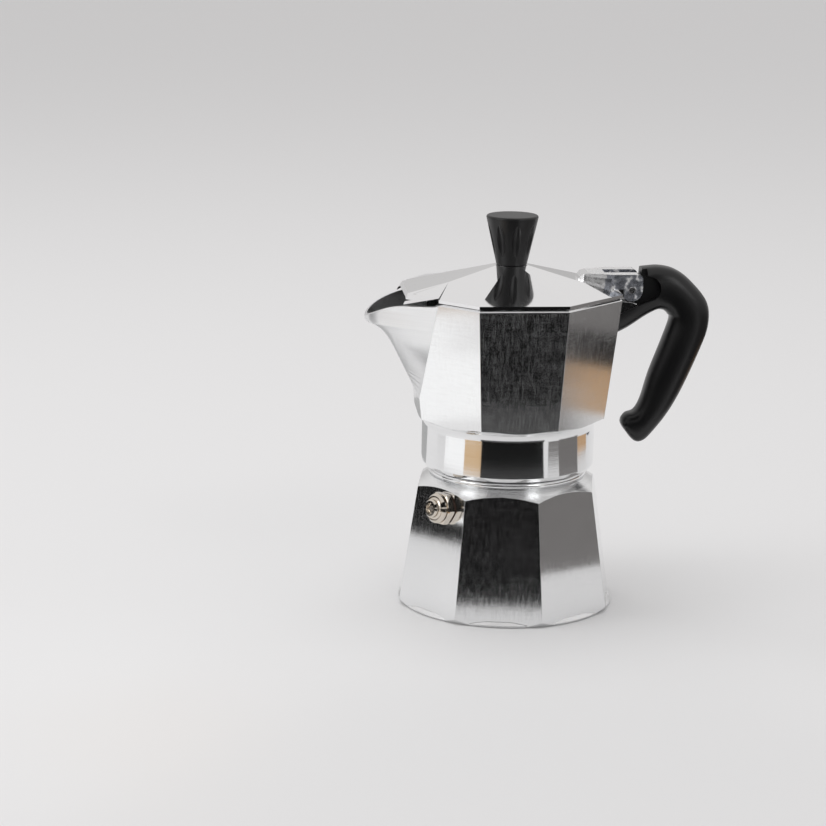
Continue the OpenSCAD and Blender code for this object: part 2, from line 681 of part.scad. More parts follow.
// The lug seen from above, narrow where it grows out of the lid.
module lug_plan() {
  half = [[lug_front - 1, lug_nose_w / 2 - 1.5], [lug_front + 1, lug_nose_w / 2], [ear_front, lug_w / 2],
          [far, lug_w / 2]];
  polygon(concat([for (p = half) [p.x, -p.y]], [for (i = [len(half) - 1 : -1 : 0]) half[i]]));
}

module lug_profile() {
  polygon([[lug_front - 1.6, lid_top(lug_front - 1.6) - 0.8], [lug_front + 0.6, pin_z + lug_top - 0.5],
           [lug_front + 3, pin_z + lug_top], [pin_x + ear_r - ear_fillet, pin_z + lug_top],
           [pin_x + ear_r, pin_z + lug_top - ear_fillet], [pin_x + ear_r, pin_z], [pin_x, pin_z - ear_r],
           [pin_x - ear_r - 1, lid_z + 0.6], [lid_af / 2 - 3, lid_z + lid_edge_h],
           [lug_front + 1, lid_top(lug_front) - 2]]);
  translate([pin_x, pin_z]) circle(r = ear_r, $fn = 64);
  translate([pin_x + ear_r - ear_fillet, pin_z + lug_top - ear_fillet]) circle(r = ear_fillet, $fn = 48);
}

// The hinge lug: a top plate that widens into two ears, with a deep recess in each side.
module lug() difference() {
  intersection() {
    across(lug_w) lug_profile();
    linear_extrude(far) lug_plan();
  }
  for (s = [0, 1]) mirror([0, s, 0]) intersection() {
    across(far) polygon([[lug_front + 2, pin_z + lug_top - 1.5], [ear_front, pin_z + lug_top - 1.7],
                         [ear_front - 1.6, lid_z], [lug_front + 2, lid_z]]);
    linear_extrude(far)
      polygon([[lug_front + 1, 3.4], [ear_front, 5.4], [ear_front, far], [lug_front + 1, far]]);
  }
}

module lid() color(aluminium) difference() {
  union() {
    difference() {
      union() {
        difference() {
          lid_skin(0);
          beyond_cheeks();
        }
        hood(0);
        translate([0, 0, seat_z - 3]) cylinder(r = knob_foot_r + 0.5, h = 3, $fn = 64);
      }
      difference() {
        lid_skin(lid_t);
        translate([0, 0, seat_z - lid_t - 1.6]) cylinder(r = knob_foot_r - 0.8, h = far, $fn = 64);
      }
      translate([0, 0, lid_z - 5]) octagon_taper(lid_af - 2 * lid_t, 0, 5.01);
      hood(lid_t);
    }
    lug();
  }
  // the edge under the hood, cut up to the cheeks' line
  across(far) translate([-hood_start, hood_corners[3].z - 0.1])
    polygon([[0, -far / 4], [0, 0], [-20, -20 * cheek_slope], [-20, -far / 4]]);
  // slot for the handle's web
  translate([slot_front, -slot_w / 2, lid_top(slot_front)]) cube([far, slot_w, far]);
  translate([lid_af / 2, -slot_w / 2, lid_z - 20]) cube([far, slot_w, far]);
  translate([pin_x, 0, pin_z]) rotate([90, 0, 0])
    cylinder(r = pin_r + running_fit, h = lug_w + 2, center = true, $fn = 48);
  translate([0, 0, seat_z - 10]) cylinder(r = screw_r + hand_fit, h = 20, $fn = 32);
}

// ---- knob and its fixing ----
screw_r = 2;
insert_r = 3.4;
insert_h = 9;
screw_head_r = 4;
washer2_t = 0.8;
under_z = seat_z - lid_t - 1.6;

module knob_profile() {
  rim = 0.8;
  top = seat_z + knob_h;
  polygon(concat([[0, seat_z], [knob_foot_r - 0.3, seat_z], [knob_foot_r, seat_z + 0.3]],
                 [for (a = [-10 : 20 : 90])
                    [knob_top_r - rim + rim * cos(a), top - 0.2 - rim + rim * sin(a)]],
                 [[0.6 * knob_top_r, top - 0.05], [0, top]]));
}

// A pointed spindle, the shape that cuts one lens-shaped flute.
module spindle(length, width) {
  r = (length * length / 4 + width * width / 4) / width;
  rotate_extrude($fn = 48) intersection() {
    translate([width / 2 - r, 0]) circle(r = r, $fn = 128);
    translate([0, -length]) square([width, 2 * length]);
  }
}

module knob() color(black) difference() {
  rotate_extrude($fn = 96) knob_profile();
  flute_w = 4.6;
  flute_turn = 6;
  flute_len = 0.8 * knob_h;
  mid_r = (knob_foot_r + knob_top_r) / 2 - 0.2;
  lean = atan((knob_top_r - knob_foot_r) / knob_h);
  for (k = [0 : flute_count - 1]) rotate([0, 0, flute_turn + 360 * k / flute_count])
    translate([mid_r + flute_w / 2 - flute_depth, 0, seat_z + 0.49 * knob_h])
      rotate([0, lean, 0]) spindle(flute_len + 2, flute_w);
  translate([0, 0, seat_z - 1]) cylinder(r = insert_r + press_gap, h = insert_h + 1.2, $fn = 48);
}

module knob_insert() color([0.80, 0.66, 0.38]) translate([0, 0, seat_z]) difference() {
  cylinder(r = insert_r, h = insert_h, $fn = 48);
  translate([0, 0, -1]) cylinder(r = screw_r + press_gap, h = insert_h, $fn = 32);
}

module knob_washer() color([0.72, 0.72, 0.74]) translate([0, 0, under_z - washer2_t]) difference() {
  cylinder(r = screw_head_r + 0.9, h = washer2_t, $fn = 48);
  translate([0, 0, -1]) cylinder(r = screw_r + hand_fit, h = 3, $fn = 32);
}

module knob_screw() color([0.72, 0.72, 0.74]) translate([0, 0, under_z - washer2_t]) difference() {
  union() {
    cylinder(r = screw_r, h = washer2_t + seat_z - under_z + insert_h - 2, $fn = 32);
    rotate_extrude($fn = 48) intersection() {
      translate([0, 2.6]) circle(r = 4.9, $fn = 64);
      translate([0, -2.2]) square([screw_head_r, 2.2]);
    }
  }
  // screwdriver slot
  translate([-screw_head_r, -0.5, -3.3]) cube([2 * screw_head_r, 1, 2]);
}

// ---- handle: a loft between its back and front outlines ----
// Each station: height above the rim and distance from the axis of the back edge,
// the same of the front edge, and the share of the handle's width there.
handle_stations = [
  [-62.8, 52.0, -54.4, 45.6, 0.72], [-62.0, 56.0, -50.8, 48.2, 0.80], [-57.8, 60.0, -49.3, 51.8, 0.85],
  [-50.0, 65.8, -44.4, 54.4, 0.90], [-40.5, 71.0, -33.8, 57.4, 0.95], [-25.5, 77.4, -19.6, 62.6, 1.0],
  [-14.2, 81.1, -11.4, 65.2, 1.0], [-4.3, 80.3, -9.2, 64.2, 1.0], [4.4, 73.3, -8.0, 63.0, 1.0],
  [9.0, 67.0, -7.4, 61.7, 1.0], [10.6, 60.8, -7.5, 59.4, 1.0], [10.4, 55.0, -10.0, 54.6, 1.0],
  [9.5, 48.5, -14.8, 47.5, 0.98], [8.0, 40.0, -18.6, 40.0, 0.96]];
rings_per_station = 5;
ring_points = 28;
// The rounded end: how far along the first stretch, and the section's share there.
end_rings = [[0, 0.46], [0.1, 0.74], [0.24, 0.9], [0.44, 0.98]];

// Smooth curve through four values.
function blend(p0, p1, p2, p3, t) =
  0.5 * (2 * p1 + (p2 - p0) * t + (2 * p0 - 5 * p1 + 4 * p2 - p3) * t * t
      + (3 * p1 - p0 - 3 * p2 + p3) * t * t * t);
function station(s) = handle_stations[max(0, min(len(handle_stations) - 1, s))];
function handle_at(u) = let (i = floor(u), t = u - i)
  blend(station(i - 1), station(i), station(i + 1), station(i + 2), t);
function rounded(a, sharp) = sign(a) * pow(abs(a), sharp);

// A section's ring: front to back across the outlines, bulging by width to the sides.
function handle_ring(u, scale) = let (p = handle_at(u), shift = pin_x - 47.8,
  back = [p[1] + shift, rim_z + p[0]], front = [p[3] + shift, rim_z + p[2]],
  mid = (back + front) / 2, half = (back - front) / 2 * scale, w = handle_w / 2 * p[4] * scale)
  [for (k = [0 : ring_points - 1]) let (a = 360 * k / ring_points,
    c = rounded(cos(a), 0.75), s = rounded(sin(a), 0.75)) [mid.x + half.x * c, w * s, mid.y + half.y * c]];

module handle_loft() {
  last = (len(handle_stations) - 1) * rings_per_station;
  rings = concat([for (e = end_rings) handle_ring(e[0], e[1])],
                 [for (i = [3 : last]) handle_ring(i / rings_per_station, 1)]);
  n = ring_points;
  m = len(rings);
  points = [for (ring = rings) each ring];
  skin = [for (i = [0 : m - 2]) for (k = [0 : n - 1])
    let (a = i * n, b = a + n, j = (k + 1) % n) each [[a + k, a + j, b + j], [a + k, b + j, b + k]]];
  polyhedron(points, concat(skin, [[for (k = [n - 1 : -1 : 0]) k]],
             [[for (k = [0 : n - 1]) (m - 1) * n + k]]),
             convexity = 6);
}

pocket_r = norm([ear_r - ear_fillet, lug_top - ear_fillet]) + ear_fillet + 0.4;
hub_r = ear_r - 0.3;

// The side view of the room that the lid's ears need to swing.
module pocket_profile() {
  translate([pin_x, pin_z]) circle(r = pocket_r, $fn = 64);
  translate([pin_x + 7.4, pin_z]) circle(r = 5, $fn = 48);
  polygon([[pin_x - far / 4, pin_z - pocket_r], [pin_x, pin_z - pocket_r],
           [pin_x + 3, pin_z - pocket_r + 0.55],
           [pin_x + 9, pin_z - 4.6], [pin_x + 7, pin_z + 5], [pin_x + 7, pin_z + far / 4],
           [pin_x - far / 4, pin_z + far / 4]]);
}

// What stays of the web inside the pocket: a hub round the pin and the back of the head.
module web_profile() {
  translate([pin_x, pin_z]) circle(r = hub_r, $fn = 48);
  polygon([[pin_x - 1.4, pin_z - 20], [pin_x - 1.4, pin_z - 3.2],
           [pin_x + 1.6, pin_z], [pin_x + 4.6, pin_z + 3.6],
           [pin_x + 5.2, pin_z + 11], [pin_x + 40, pin_z + 11], [pin_x + 40, pin_z - 20]]);
}

module handle() color(black) difference() {
  handle_loft();
  // pockets for the lid's ears, on both sides of the web
  difference() {
    across(far) pocket_profile();
    across(web_w) web_profile();
  }
  // slot over the blade, open to the front
  across(tang_t + 2 * press_gap) {
    blade_profile(0.1);
    translate([tang_back, pin_z - 4]) square([pin_x - tang_back, 4 + tang_end_r + 0.1]);
  }
  // room for the tang's shoulder, and the jug's back flat
  across(far) {
    offset(delta = 0.05) shoulder_profile();
    polygon([[tang_back, rim_z - 2], [tang_back, rim_z + far],
             [pin_x - ear_r, rim_z + far], [pin_x - ear_r, pin_z - 5]]);
  }
  translate([0, 0, flat_low_z]) octagon_taper(2 * jug_apothem(flat_low_z) + 0.1, -jug_lean, far);
  translate([pin_x, 0, pin_z]) rotate([90, 0, 0])
    cylinder(r = pin_r + press_gap, h = 2 * handle_w, center = true, $fn = 48);
}

module hinge_pin() color([0.72, 0.72, 0.74]) translate([pin_x, 0, pin_z]) rotate([90, 0, 0]) {
  chamfer = 0.3;
  half_length = lug_w / 2 - 0.1;
  cylinder(r = pin_r, h = 2 * (half_length - chamfer), center = true, $fn = 48);
  for (s = [0, 1]) mirror([0, 0, s]) translate([0, 0, half_length - chamfer])
    cylinder(r1 = pin_r, r2 = pin_r - chamfer, h = chamfer, $fn = 48);
}

boiler();
valve_washer();
valve_body();
valve_cap();
valve_plunger();
valve_spring();
funnel();
funnel_screen();
gasket();
filter_plate();
collector();
column_cap();
lid();
knob();
knob_insert();
knob_screw();
knob_washer();
handle();
hinge_pin();
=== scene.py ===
# %% [markdown]
# # A stovetop moka pot
# This lesson dresses a ready frame, the pot's exact solids with their joints, in
# metal and plastic. The solids already give the true shapes, so most of the work
# here is in surfaces: brushed flats, a turned collar, a mirror lid, black grips.
# What turns or repeats on the real pot, its threads and its spring, is made here
# with Geometry Nodes.

import json
import math
from types import SimpleNamespace

import bmesh
import bpy
import numpy as np
from mathutils import Matrix, Vector


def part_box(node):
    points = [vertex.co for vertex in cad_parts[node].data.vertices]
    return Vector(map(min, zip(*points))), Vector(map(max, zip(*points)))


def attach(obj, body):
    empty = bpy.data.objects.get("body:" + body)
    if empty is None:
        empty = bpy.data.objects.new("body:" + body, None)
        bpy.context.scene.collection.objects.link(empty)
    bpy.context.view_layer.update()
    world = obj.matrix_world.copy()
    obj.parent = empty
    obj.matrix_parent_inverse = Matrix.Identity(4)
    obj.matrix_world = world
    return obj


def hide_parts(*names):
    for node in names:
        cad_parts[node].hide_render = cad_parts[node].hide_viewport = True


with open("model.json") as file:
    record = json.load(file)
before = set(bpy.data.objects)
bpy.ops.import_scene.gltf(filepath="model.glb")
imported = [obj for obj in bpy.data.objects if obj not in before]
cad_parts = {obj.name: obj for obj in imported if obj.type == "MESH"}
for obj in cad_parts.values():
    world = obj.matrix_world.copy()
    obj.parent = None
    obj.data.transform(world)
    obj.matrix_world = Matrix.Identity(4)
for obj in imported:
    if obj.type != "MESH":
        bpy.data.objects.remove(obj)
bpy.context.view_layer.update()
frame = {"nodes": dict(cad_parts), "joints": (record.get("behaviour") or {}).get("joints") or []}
nodes = frame["nodes"]
MM = 0.001

# %% [markdown]
# ## Dimensions to work from
# A finish changes where the shape changes: at the shoulder, at the collar's
# fillet, at the line where the spout springs from the flats. A box round a solid
# doesn't show those places, so they are the pot's own dimensions, written once
# here and used by name below. If the solids change, these have to follow.

# %% The pot's dimensions
# The boiler, from its foot up
SATIN_FOOT = 3.0 * MM
FLAT_TOP = 51.7 * MM
BEAD_FOOT = 53.7 * MM
# The jug, and the lean of its flats
FILLET_TOP = 79.0 * MM
RIM = 128.6 * MM
APOTHEM_AT_RIM = 42.7 * MM
LEAN = math.radians(6.48)
# The level line where the spout's flanks leave the flats moves out as it rises
SPOUT_FOOT = RIM - 40.6 * MM
FLANK_RUN = 14.8 * MM
SPOUT_SLOPE = (FLANK_RUN * math.sqrt(0.5)) / (RIM - SPOUT_FOOT) - math.tan(LEAN)
SPOUT_FOOT_X = -(APOTHEM_AT_RIM - (RIM - SPOUT_FOOT) * math.tan(LEAN))
# The lid's hinge lug: where it starts, where its two ears start, half its width
LUG_FRONT = 27.0 * MM
EAR_FRONT = 37.4 * MM
LUG_HALF = 9.75 * MM
print("spout springs from", round(SPOUT_FOOT / MM, 1), "mm up, at x", round(SPOUT_FOOT_X / MM, 1), "mm")

# %% [markdown]
# ## The camera
# The camera stands about a metre away, some fifteen centimetres above the lid and a
# little to the spout's side, looking down. A long lens keeps the upright edges
# nearly parallel, as a studio photographer would. The way it faces is given by
# three directions, which is clearer than three angles when the camera also has a
# slight roll.

# %% Set up the camera
CAMERA_PLACE = (-0.1281, -0.9640, 0.3031)
RIGHT = Vector((0.9959, -0.0889, 0.0132))
UP = Vector((0.0073, 0.2264, 0.9740))
FORWARD = Vector((0.0896, 0.9700, -0.2261))
FOCAL_IN_WIDTHS = 2438.9 / 826
SENSOR_WIDTH_MM = 36

camera_data = bpy.data.cameras.new("camera")
camera_data.sensor_width = SENSOR_WIDTH_MM
camera_data.lens = SENSOR_WIDTH_MM * FOCAL_IN_WIDTHS
camera_data.clip_start, camera_data.clip_end = 0.05, 50
camera = bpy.data.objects.new("camera", camera_data)
turn = Matrix((RIGHT, UP, -FORWARD)).transposed()
camera.matrix_world = Matrix.Translation(CAMERA_PLACE) @ turn.to_4x4()
bpy.context.scene.collection.objects.link(camera)
bpy.context.scene.camera = camera
print("lens", round(camera_data.lens, 1), "mm")

# %% [markdown]
# ## A small kit for node trees
# Every finish below is a node tree. The first two helpers keep them readable: one
# adds a node and fills its inputs, the other starts a material with a Principled
# shader. The rest are small sums on sockets. Inputs that are the same all over a
# surface are set straight on the shader.

# %% Node helpers
def add_node(tree, kind, place=None, **settings):
    """A new node. place fills its inputs, by name or number; settings are its properties."""
    node = tree.nodes.new(kind)
    for name, value in settings.items():
        setattr(node, name, value)
    for name, value in (place or {}).items():
        if isinstance(value, bpy.types.NodeSocket):
            tree.links.new(value, node.inputs[name])
        else:
            node.inputs[name].default_value = value
    return node


def start_material(name, colour, roughness, metallic=0.0, **sockets):
    """A material with one Principled shader. Returns the material, its tree and the shader."""
    material = bpy.data.materials.new(name)
    material.use_nodes = True
    tree = material.node_tree
    shader = tree.nodes["Principled BSDF"]
    shader.inputs["Base Color"].default_value = (*colour, 1)
    shader.inputs["Roughness"].default_value = roughness
    shader.inputs["Metallic"].default_value = metallic
    for socket, value in sockets.items():
        shader.inputs[socket.replace("_", " ")].default_value = value
    return material, tree, shader


def maths(tree, operation, a, b=0.0, clamp=False):
    """One Math node, returned as its output socket."""
    node = add_node(tree, "ShaderNodeMath", {0: a, 1: b}, operation=operation, use_clamp=clamp)
    return node.outputs[0]


def plus(tree, base, pattern, spread):
    """base with a 0-to-1 pattern swinging it up and down by half of spread."""
    swing = maths(tree, "MULTIPLY", maths(tree, "SUBTRACT", pattern, 0.5), spread)
    return maths(tree, "ADD", base, swing)


def step_up(tree, value, low, high):
    """0 below low, 1 above high, a straight ramp between. With low above high it falls instead."""
    node = add_node(tree, "ShaderNodeMapRange",
                    {"Value": value, "From Min": low, "From Max": high, "To Min": 0.0, "To Max": 1.0})
    return node.outputs["Result"]


def scaled_place(tree, scale):
    """Object coordinates stretched by scale, for patterns with a direction."""
    place = add_node(tree, "ShaderNodeTexCoord").outputs["Object"]
    return add_node(tree, "ShaderNodeMapping", {"Vector": place, "Scale": scale}).outputs["Vector"]


def noise(tree, scale, detail=3.0, vector=None, roughness=0.5):
    """A Noise Texture's value, read at vector, or at the object's own coordinates in metres."""
    if vector is None:
        vector = add_node(tree, "ShaderNodeTexCoord").outputs["Object"]
    inputs = {"Scale": scale, "Detail": detail, "Roughness": roughness, "Vector": vector}
    return add_node(tree, "ShaderNodeTexNoise", inputs).outputs["Fac"]


def bump(tree, height, strength, distance, normal=None):
    """A Bump node over height, in metres of distance."""
    inputs = {"Height": height, "Strength": strength, "Distance": distance}
    if normal is not None:
        inputs["Normal"] = normal
    return add_node(tree, "ShaderNodeBump", inputs).outputs["Normal"]


def mix_value(tree, mask, low, high):
    """low where mask is 0, high where it is 1; either may be a number or a socket."""
    node = add_node(tree, "ShaderNodeMix", {0: mask, 2: low, 3: high}, data_type="FLOAT")
    return node.outputs[0]


def both(tree, *masks):
    """1 only where every mask is 1."""
    product = masks[0]
    for mask in masks[1:]:
        product = maths(tree, "MULTIPLY", product, mask)
    return product


def opposite(tree, mask):
    """1 where mask is 0, and 0 where it is 1."""
    return maths(tree, "SUBTRACT", 1.0, mask)


print("node helpers ready")

# %% [markdown]
# ## Brushed and turned aluminium
# The flats are rubbed upwards with an abrasive belt. Its scratches run up the pot,
# so they smear a reflection sideways and leave it sharp from top to bottom: that
# is why the flats show a clean level line where the table's reflection ends. The
# collar is turned on a lathe, so its scratches run round and it smears the other
# way. One material does both. Anisotropic stretches a highlight along the shader's
# Tangent, and a mask chooses whether that runs round the pot or up its side. The
# deepest scratches also scatter a little light, which shows on the dark faces.

# %% Where a point is
def up_and_out(tree):
    """A point's place, which way it faces, and outward: over 0 on skins that face away from the axis."""
    place = add_node(tree, "ShaderNodeTexCoord").outputs["Object"]
    facing = add_node(tree, "ShaderNodeNewGeometry").outputs["Normal"]
    x, y, z = add_node(tree, "ShaderNodeSeparateXYZ", {"Vector": place}).outputs
    nx, ny, nz = add_node(tree, "ShaderNodeSeparateXYZ", {"Vector": facing}).outputs
    outward = maths(tree, "ADD", maths(tree, "MULTIPLY", x, nx), maths(tree, "MULTIPLY", y, ny))
    return SimpleNamespace(x=x, y=y, z=z, ny=ny, nz=nz, outward=outward)


print("place helper ready")

# %% [markdown]
# Scratches are noise squeezed hard across their own direction. The three scales
# below are in waves per metre along x, y and z, so a small number is the way that
# a scratch runs. Squeezing the noise costs nothing, and it never repeats.

# %% Scratches
UPRIGHT_SCRATCHES = (1500, 1500, 70)
CROSS_SCRATCHES = (110, 110, 1600)
TURNED_GROOVES = (25, 25, 1800)
CROSS_SHARE = 0.6


def scratches(tree, flats):
    """The fine lines everywhere, and how deep the belt has cut on the flats."""
    upright_lines = noise(tree, 1.0, 3.0, scaled_place(tree, UPRIGHT_SCRATCHES), 0.7)
    cross_lines = noise(tree, 1.0, 2.0, scaled_place(tree, CROSS_SCRATCHES), 0.7)
    round_lines = noise(tree, 1.0, 3.0, scaled_place(tree, TURNED_GROOVES), 0.6)
    lines = mix_value(tree, flats, round_lines, upright_lines)
    grain = maths(tree, "ADD", step_up(tree, upright_lines, 0.42, 0.72),
                  maths(tree, "MULTIPLY", step_up(tree, cross_lines, 0.44, 0.74), CROSS_SHARE))
    return lines, both(tree, grain, flats)


def smear_direction(tree, flats):
    """The tangent: round the pot on the flats, up the pot on what is turned."""
    around = add_node(tree, "ShaderNodeTangent", direction_type="RADIAL", axis="Z").outputs["Tangent"]
    facing = add_node(tree, "ShaderNodeNewGeometry").outputs["Normal"]
    uphill = add_node(tree, "ShaderNodeVectorMath", {0: facing, 1: around}, operation="CROSS_PRODUCT")
    chosen = add_node(tree, "ShaderNodeMix", {0: flats, 4: uphill.outputs[0], 5: around},
                      data_type="VECTOR")
    return chosen.outputs[1]


print("scratch helpers ready")

# %% Brushed metal
TURNED_BLUR, SATIN_BLUR = 0.09, 0.34
ANISOTROPY = 0.75
EDGE_RADIUS = 0.35 * MM
SCRATCH_DEPTH = 0.02 * MM


def brushed_metal(name, colour, zones, blur, scatter):
    """Aluminium in three finishes. zones gives two masks: brushed flats, and satin places;
    where both are 0 the metal is turned. scatter is how much light the scratches spread."""
    material, tree, shader = start_material(name, colour, blur, metallic=1.0, Anisotropic=ANISOTROPY)
    flats, satin = zones(tree)
    lines, deep = scratches(tree, flats)
    patches = noise(tree, 55.0, 4.0, roughness=0.6)
    tree.links.new(smear_direction(tree, flats), shader.inputs["Tangent"])

    rough = mix_value(tree, satin, mix_value(tree, flats, TURNED_BLUR, blur), SATIN_BLUR)
    rough = maths(tree, "ADD", rough, maths(tree, "MULTIPLY", deep, 0.03))
    rough = plus(tree, plus(tree, rough, lines, 0.04), patches, 0.02)
    tree.links.new(rough, shader.inputs["Roughness"])

    metal = opposite(tree, maths(tree, "MULTIPLY", deep, scatter))
    tree.links.new(metal, shader.inputs["Metallic"])
    shade = plus(tree, plus(tree, 0.98, lines, 0.10), patches, 0.05)
    tint = add_node(tree, "ShaderNodeVectorMath", {0: colour, "Scale": shade}, operation="SCALE")
    tree.links.new(tint.outputs[0], shader.inputs["Base Color"])
    edge = add_node(tree, "ShaderNodeBevel", {"Radius": EDGE_RADIUS}, samples=4).outputs["Normal"]
    tree.links.new(bump(tree, lines, 0.30, SCRATCH_DEPTH, edge), shader.inputs["Normal"])
    return material


print("brushed metal ready")

# %% [markdown]
# ## The boiler's finishes
# The flats are told from the rest by their slope: nothing else on the boiler leans
# by just as much. The shoulder and the foot are turned and then dulled, so they
# are part satin. The satin creeps in over the flats' last eight millimetres; the
# other edges are a fraction of a millimetre wide.

# %% Boiler metal
ALUMINIUM = (0.90, 0.905, 0.91)
SATIN_SHARE = 0.6


def boiler_zones(tree):
    """Brushed on the leaning flats, part satin on the shoulder and foot, turned elsewhere."""
    here = up_and_out(tree)
    leaning = both(tree, step_up(tree, here.nz, 0.10, 0.13), step_up(tree, here.nz, 0.19, 0.16))
    flats = both(tree, leaning, step_up(tree, here.outward, 0.0, 0.001))
    shoulder = both(tree, step_up(tree, here.z, FLAT_TOP - 0.010, FLAT_TOP - 0.002),
                    step_up(tree, here.z, BEAD_FOOT + 0.0003, BEAD_FOOT - 0.0003))
    foot = step_up(tree, here.z, SATIN_FOOT + 0.001, SATIN_FOOT)
    satin = maths(tree, "MULTIPLY", maths(tree, "MAXIMUM", shoulder, foot), SATIN_SHARE)
    return flats, both(tree, satin, opposite(tree, flats))


boiler_metal = brushed_metal("brushed boiler", ALUMINIUM, boiler_zones, 0.075, 0.028)
print("made", boiler_metal.name)

# %% [markdown]
# ## The jug: collar, flats and a satin spout
# The jug is one casting with three finishes: a turned collar below, brushed flats
# above, and a satin spout. The mask reads height for the collar and a sloping
# plane for the spout, the same plane that the solid is cut on.

# %% Jug metal
def jug_zones(tree):
    """Brushed on the jug's flats, satin on the spout, turned on the collar below."""
    here = up_and_out(tree)
    plane_x = maths(tree, "ADD", maths(tree, "MULTIPLY", here.z, SPOUT_SLOPE),
                    SPOUT_FOOT_X - SPOUT_SLOPE * SPOUT_FOOT)
    behind = step_up(tree, maths(tree, "SUBTRACT", here.x, plane_x), 0.0, 0.0002)
    above = step_up(tree, here.z, FILLET_TOP - 0.004, FILLET_TOP - 0.0035)
    leaning = both(tree, step_up(tree, here.nz, -0.16, -0.13), step_up(tree, here.nz, -0.05, -0.09))
    flats = both(tree, behind, above, leaning, step_up(tree, here.outward, 0.0, 0.001))
    spout = both(tree, opposite(tree, behind), step_up(tree, here.z, SPOUT_FOOT - 0.002, SPOUT_FOOT))
    return flats, spout


jug_metal = brushed_metal("brushed jug", ALUMINIUM, jug_zones, 0.14, 0.085)
print("made", jug_metal.name)

# %% [markdown]
# ## A buffed lid with a cast lug
# The lid is buffed until it mirrors the knob, but a buffing wheel can't reach the
# sides of the hinge lug, so those stay as they came from the mould: rough and
# lumpy. Their darker blue-grey is partly the cast metal's own tone and partly
# painted shade, and their pale blotches are painted glints. One material holds
# both, with a box-shaped mask round the lug. The lid's own sloping facets reach
# into that box, and their slope keeps them out. The lid's underside in the box
# isn't kept out, so a small patch there is rough too.

# %% Lid metal
MIRROR_BLUR = 0.06
# The lug sides' blue-grey: partly the cast metal's own tone, partly painted shade.
CAST_GREY_AND_SHADE = (0.42, 0.44, 0.49)


def on_lug(tree):
    """One mask for the lid's hinge lug and one for the lug's two upright sides."""
    here = up_and_out(tree)
    back = step_up(tree, here.x, LUG_FRONT, LUG_FRONT + 0.0005)
    narrow = step_up(tree, maths(tree, "ABSOLUTE", here.y), LUG_HALF + 0.0003, LUG_HALF + 0.0001)
    clear = maths(tree, "MAXIMUM", step_up(tree, here.z, RIM + 0.002, RIM + 0.0025),
                  step_up(tree, here.x, APOTHEM_AT_RIM + 0.0015, APOTHEM_AT_RIM + 0.002))
    facet = both(tree, step_up(tree, here.nz, 0.95, 0.96), step_up(tree, here.nz, 0.995, 0.99))
    lug = both(tree, back, narrow, clear, opposite(tree, facet))
    upright = both(tree, step_up(tree, maths(tree, "ABSOLUTE", here.ny), 0.6, 0.7),
                   step_up(tree, here.x, EAR_FRONT, EAR_FRONT + 0.0004))
    return lug, both(tree, lug, upright)


def lid_finish(name, colour):
    """Buffed all over except on the lug, left as it came from the mould; its sides get painted shade and
    painted glints.
    """
    material, tree, shader = start_material(name, colour, MIRROR_BLUR, metallic=1.0)
    lug, side = on_lug(tree)
    cast = noise(tree, 430.0, 1.5, roughness=0.5)
    # Pale, less metallic spots on the lug's sides: painted glints.
    painted_glints = both(tree, step_up(tree, cast, 0.54, 0.64), side)
    polish = plus(tree, MIRROR_BLUR, noise(tree, 90.0, 4.0), 0.05)
    rough = mix_value(tree, lug, polish, plus(tree, 0.28, cast, 0.30))
    tree.links.new(rough, shader.inputs["Roughness"])
    scatter = maths(tree, "ADD", maths(tree, "MULTIPLY", lug, 0.12), maths(tree, "MULTIPLY", painted_glints, 0.4))
    tree.links.new(opposite(tree, scatter), shader.inputs["Metallic"])
    # The sides, less the glints, take the darker grey: partly cast tone, partly painted shade.
    dull = maths(tree, "SUBTRACT", side, painted_glints)
    tint = add_node(tree, "ShaderNodeMix", {0: dull, 6: (*colour, 1), 7: (*CAST_GREY_AND_SHADE, 1)}, data_type="RGBA")
    tree.links.new(tint.outputs[2], shader.inputs["Base Color"])
    tree.links.new(bump(tree, both(tree, cast, lug), 0.4, 0.3 * MM), shader.inputs["Normal"])
    return material


mirror_aluminium = lid_finish("buffed aluminium", (0.93, 0.93, 0.935))
print("made", mirror_aluminium.name)

# %% [markdown]
# ## Satin and small metals
# Inside parts are plain satin sheet. The valve is brass under worn nickel, warmer
# than the aluminium round it. Each gets a faint unevenness, because a perfectly
# even roughness looks like plastic.

# %% Satin and small metals
def uneven_metal(name, colour, roughness, spread, grain=90.0, bump_height=0.0):
    """Metal whose roughness wanders by spread over patches of 1 / grain metres."""
    material, tree, shader = start_material(name, colour, roughness, metallic=1.0)
    tree.links.new(plus(tree, roughness, noise(tree, grain, 4.0), spread), shader.inputs["Roughness"])
    if bump_height:
        skin = bump(tree, noise(tree, grain * 12, 3.0), 0.25, bump_height)
        tree.links.new(skin, shader.inputs["Normal"])
    return material


satin_aluminium = uneven_metal("satin aluminium", (0.80, 0.80, 0.81), 0.34, 0.10, bump_height=0.03 * MM)
worn_nickel = uneven_metal("worn nickel", (0.72, 0.66, 0.58), 0.11, 0.08, 400.0)
dull_nickel = uneven_metal("dull nickel", (0.30, 0.27, 0.24), 0.35, 0.14, 400.0)
bare_brass = uneven_metal("bare brass", (0.85, 0.66, 0.34), 0.20, 0.12, 300.0)
plated_steel = uneven_metal("plated steel", (0.70, 0.70, 0.72), 0.20, 0.10, 300.0)
print("small metals made")

# %% [markdown]
# ## Black plastics and rubbers
# The knob and the handle are moulded in a black plastic with a low shine. A fine
# bump of spark-eroded mould texture breaks up the highlights, and the roughness
# wanders a little where hands have rubbed it.

# %% Plastics and rubbers
SKIN_DEPTH = 0.02 * MM


def moulded(name, colour, roughness, grain=2600.0, index=1.5):
    """Moulded plastic or rubber with a fine skin texture."""
    material, tree, shader = start_material(name, colour, roughness, IOR=index)
    tree.links.new(plus(tree, roughness, noise(tree, 70.0, 3.0), 0.12), shader.inputs["Roughness"])
    tree.links.new(bump(tree, noise(tree, grain, 2.0), 0.35, SKIN_DEPTH), shader.inputs["Normal"])
    return material


